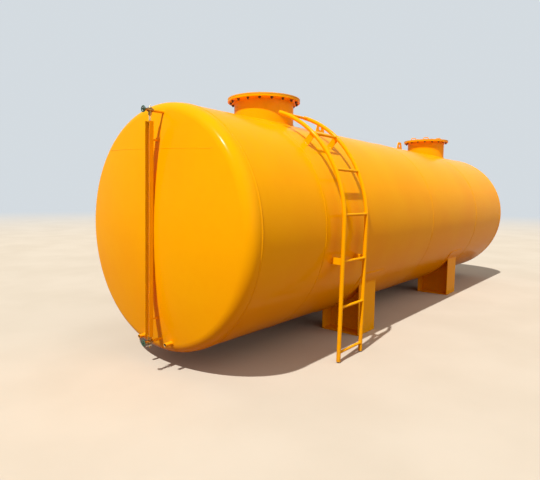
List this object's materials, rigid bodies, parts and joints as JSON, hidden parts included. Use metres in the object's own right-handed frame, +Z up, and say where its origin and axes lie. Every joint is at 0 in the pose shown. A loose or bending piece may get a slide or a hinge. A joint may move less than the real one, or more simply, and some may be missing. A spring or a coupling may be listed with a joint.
{
  "type": "horizontal cylindrical storage tank",
  "caption": "Welded steel horizontal storage tank with dished heads, plate legs, top manways, bent pipe ladder and a glass level gauge.",
  "frame": {"origin": "on the ground, at the middle of the part's outline seen from above; the tank's axis lies 50.6 mm to +Y of it and 1192 mm up", "axes": "+X along the tank from the gauge end to the plain end, +Y to the side without the ladder, +Z up"},
  "size_m": [7.3666, 2.201, 2.582],
  "materials": {
    "tank_enamel": "glossy yellow-orange enamel over welded plate",
    "gauge_brass": "weathered cast brass",
    "handwheel_green": "dark green painted cast iron",
    "lever_steel": "plated steel",
    "gauge_glass": "clear borosilicate tube"
  },
  "bodies": {
    "tank": {"near_head": "tank_enamel", "far_head": "tank_enamel", "shell_course_1": "tank_enamel", "shell_course_2": "tank_enamel", "shell_course_3": "tank_enamel", "shell_course_4": "tank_enamel", "near_manway_neck": "tank_enamel", "near_manway_flange": "tank_enamel", "near_manway_cover": "tank_enamel", "near_lifting_lug": "tank_enamel", "near_stringer": "tank_enamel", "far_manway_neck": "tank_enamel", "far_manway_flange": "tank_enamel", "far_manway_cover": "tank_enamel", "far_lifting_lug": "tank_enamel", "far_stringer": "tank_enamel", "rung_1": "tank_enamel", "rung_2": "tank_enamel", "rung_3": "tank_enamel", "rung_4": "tank_enamel", "rung_5": "tank_enamel", "rung_6": "tank_enamel", "rung_7": "tank_enamel", "lower_ladder_brackets": "tank_enamel", "upper_ladder_brackets": "tank_enamel", "near_left_wear_pad": "tank_enamel", "near_left_leg": "tank_enamel", "near_right_wear_pad": "tank_enamel", "near_right_leg": "tank_enamel", "far_left_wear_pad": "tank_enamel", "far_left_leg": "tank_enamel", "far_right_wear_pad": "tank_enamel", "far_right_leg": "tank_enamel", "upper_nozzle": "tank_enamel", "lower_nozzle": "tank_enamel", "upper_cock": "gauge_brass", "lower_cock": "gauge_brass", "gauge_glass": "gauge_glass", "gauge_guard": "tank_enamel", "guard_standoffs": "tank_enamel", "left_outlet": "tank_enamel", "right_outlet": "tank_enamel"},
    "upper_wheel": {"upper_handwheel": "handwheel_green"},
    "lower_wheel": {"lower_handwheel": "handwheel_green"},
    "drain_handle": {"drain_lever": "lever_steel"}
  },
  "joints": [
    {"name": "upper_wheel_turn", "type": "hinge", "parent": "tank", "child": "upper_wheel", "pos_m": [-3.66527, -0.0562, 2.13953], "axis": [-1, 0, 0], "range_deg": [0, 540]},
    {"name": "lower_wheel_turn", "type": "hinge", "parent": "tank", "child": "lower_wheel", "pos_m": [-3.66527, -0.00745, 0.27817], "axis": [-1, 0, 0], "range_deg": [0, 540]},
    {"name": "drain_lever_turn", "type": "hinge", "parent": "tank", "child": "drain_handle", "pos_m": [-3.61327, -0.02274, 0.25076], "axis": [0, -0.9997, -0.0262], "range_deg": [0, 90]}
  ]
}
